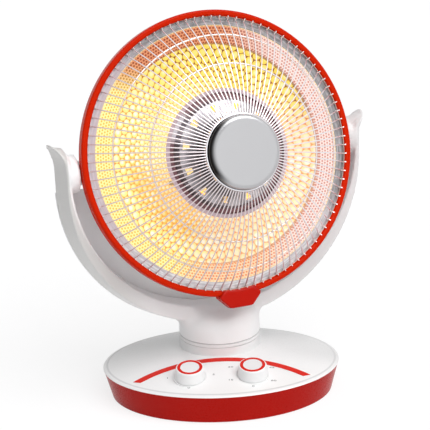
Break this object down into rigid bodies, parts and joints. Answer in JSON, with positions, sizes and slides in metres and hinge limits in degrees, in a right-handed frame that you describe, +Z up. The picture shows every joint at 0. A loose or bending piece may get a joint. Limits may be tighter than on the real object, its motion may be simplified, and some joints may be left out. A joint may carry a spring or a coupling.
{
  "type": "dish heater",
  "caption": "Free-standing carbon fibre dish heater: round reflector head with radial wire guard, tilting in a U-shaped yoke that swivels on an oval weighted base with two rotary controls",
  "frame": {"origin": "the point on the floor under the swivel axis", "axes": "+X to the heater's own left when it faces the viewer (viewer's right), -Y to the front of the base, +Z up"},
  "size_m": [0.3928, 0.2361, 0.4931],
  "materials": {
    "white_shell": "gloss moulded white",
    "white_part": "satin white",
    "red_skirt": "gloss dark red",
    "rim_red": "gloss orange red",
    "red_trim": "gloss red",
    "reflector_sheet": "polished, embossed",
    "chrome_wire": "bright",
    "cap_metal": "satin",
    "guard_metal": "bright pressed sheet",
    "steel_part": "plain",
    "tube_glass": "clear quartz",
    "carbon": "woven dark",
    "ceramic": "dull ceramic",
    "dark_plastic": "matte",
    "rubber_foot": "matte",
    "ballast_iron": "raw"
  },
  "bodies": {
    "base": {"base_pan": "red_skirt", "base_feet": "rubber_foot", "pan_screws": "steel_part", "ballast_weights": "ballast_iron", "top_cover": "white_shell", "accent_stripe": "red_trim", "swivel_bush": "white_part", "swing_motor": "steel_part", "power_switch": "dark_plastic", "timer_switch": "dark_plastic", "switch_nuts": "steel_part", "tip_switch": "dark_plastic", "terminal_block": "white_part", "cord_gland": "dark_plastic"},
    "crank": {"swing_crank": "steel_part"},
    "link": {"swing_link": "steel_part"},
    "neck": {"swing_arm": "steel_part", "swivel_plate": "white_shell", "slip_washer": "white_part", "swivel_spindle": "steel_part", "retaining_clip": "steel_part", "yoke_shell": "white_shell", "yoke_rear_cover": "white_shell", "yoke_screws": "steel_part", "pivot_pins": "steel_part", "pivot_washers": "dark_plastic"},
    "head": {"rim_ring": "rim_red", "rim_clasp": "rim_red", "clasp_screw": "steel_part", "reflector": "reflector_sheet", "rear_housing": "white_shell", "pivot_hubs": "white_shell", "terminal_screws": "steel_part", "terminal_cover": "white_shell", "thermal_cutout": "dark_plastic", "grille_wires": "chrome_wire", "grille_rings": "chrome_wire", "cap_bezel": "chrome_wire", "grille_cap": "cap_metal", "element_guard": "guard_metal", "guard_post": "steel_part", "heating_tube": "tube_glass", "filament": "carbon", "tube_ends": "ceramic", "element_clips": "steel_part"},
    "power_knob": {"power_knob": "white_shell", "power_knob_ring": "red_trim", "power_knob_cap": "white_part", "power_shaft": "steel_part"},
    "timer_knob": {"timer_knob": "white_shell", "timer_knob_ring": "red_trim", "timer_knob_cap": "white_part", "timer_shaft": "steel_part"},
    "tip_plunger": {"tip_plunger": "dark_plastic"}
  },
  "joints": [
    {"name": "swivel", "type": "hinge", "parent": "base", "child": "neck", "pos_m": [0, 0, 0.0671], "axis": [0, 0, 1], "range_deg": [-56, 14]},
    {"name": "head_tilt", "type": "hinge", "parent": "neck", "child": "head", "pos_m": [0, 0, 0.3115], "axis": [-0.9336, -0.3584, 0], "range_deg": [-14.5, 15.5]},
    {"name": "power_knob_turn", "type": "hinge", "parent": "base", "child": "power_knob", "pos_m": [-0.0395, -0.09835, 0.04817], "axis": [0, -0.1822, 0.9833], "range_deg": [-90, 90]},
    {"name": "timer_knob_turn", "type": "hinge", "parent": "base", "child": "timer_knob", "pos_m": [0.0395, -0.09835, 0.04817], "axis": [0, -0.1822, 0.9833], "range_deg": [-120, 120]},
    {"name": "tip_switch_press", "type": "slide", "parent": "base", "child": "tip_plunger", "axis": [0, 0, -1], "range_m": [0, 0.004], "stiffness_N_per_m": 60, "springref_m": 0.006},
    {"name": "crank_spin", "type": "hinge", "parent": "base", "child": "crank", "pos_m": [-0.026, 0.047, 0.03], "axis": [0, 0, 1], "continuous": true},
    {"name": "link_swing", "type": "hinge", "parent": "crank", "child": "link", "pos_m": [-0.01436, 0.03768, 0.034], "axis": [0, 0, 1], "continuous": true}
  ],
  "couplings": [
    {"joint": "link_swing", "follows": "crank_spin", "ratio": -1}
  ]
}
